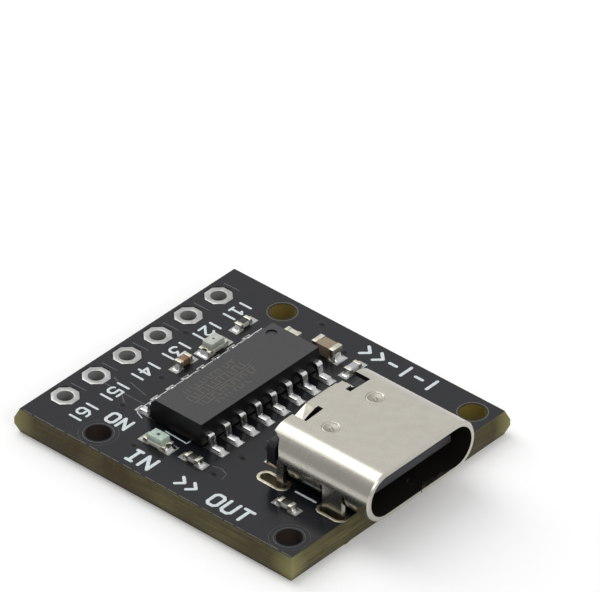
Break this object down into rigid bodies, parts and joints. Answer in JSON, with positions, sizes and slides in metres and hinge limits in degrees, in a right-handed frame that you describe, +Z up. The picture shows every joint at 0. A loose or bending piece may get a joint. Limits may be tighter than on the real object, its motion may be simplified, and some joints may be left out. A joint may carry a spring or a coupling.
{
  "type": "usb to serial adapter module",
  "caption": "Small circuit board with a USB-C receptacle, a gull-wing chip, indicator lights, a row of header holes and corner mounting holes.",
  "frame": {"origin": "centre of the board's underside", "axes": "+X towards the USB mouth, +Y along the header row, +Z up from the underside to the parts"},
  "size_m": [0.0222, 0.0182, 0.0048],
  "materials": {
    "board_edge": "cut glass-fibre laminate, olive",
    "mask": "dark solder mask, satin",
    "gold_pad": "tinned and gilt copper",
    "solder": "reflowed tin",
    "cap_brown": "brown ceramic",
    "cap_tan": "tan ceramic",
    "cap_ivory": "ivory ceramic",
    "end_cap": "tin plated",
    "res_light": "pale grey ceramic",
    "res_dark": "black glaze over white ceramic",
    "led_base": "white base plate",
    "lens_green": "clear moulded lens, pale green",
    "lens_white": "clear moulded lens",
    "chip_black": "moulded epoxy",
    "lead_tin": "tin plated leads",
    "shell_steel": "satin plated steel",
    "block_black": "black moulded plastic",
    "contact_gold": "gold plated",
    "ink_white": "white print",
    "chip_mark": "faint marks in the moulding"
  },
  "bodies": {
    "root": {"header_eyelets": "gold_pad", "via_barrels": "mask", "slot_eyelets": "gold_pad", "capacitor_brown_body": "cap_brown", "capacitor_brown_ends": "end_cap", "capacitor_tan_body": "cap_tan", "capacitor_tan_ends": "end_cap", "capacitor_small_body": "cap_ivory", "capacitor_small_ends": "end_cap", "resistor_data_body": "res_dark", "resistor_data_ends": "end_cap", "resistor_power_body": "res_dark", "resistor_power_ends": "end_cap", "resistor_left_body": "res_dark", "resistor_left_ends": "end_cap", "resistor_right_body": "res_light", "resistor_right_ends": "end_cap", "power_light_base": "led_base", "power_light_ends": "end_cap", "power_light_lens": "lens_green", "data_light_base": "led_base", "data_light_ends": "end_cap", "data_light_lens": "lens_white", "chip_lands": "gold_pad", "usb_lands": "gold_pad", "small_lands": "gold_pad", "small_joints": "solder", "board_core": "board_edge", "mask_under": "mask", "mask_top": "mask", "chip_leads": "lead_tin", "chip_body": "chip_black", "chip_joints": "solder", "usb_signal_contacts": "contact_gold", "usb_power_contacts": "contact_gold", "usb_mid_plate": "shell_steel", "usb_tongue": "block_black", "usb_block": "block_black", "usb_shell": "shell_steel", "usb_joints": "solder"}
  },
  "joints": []
}
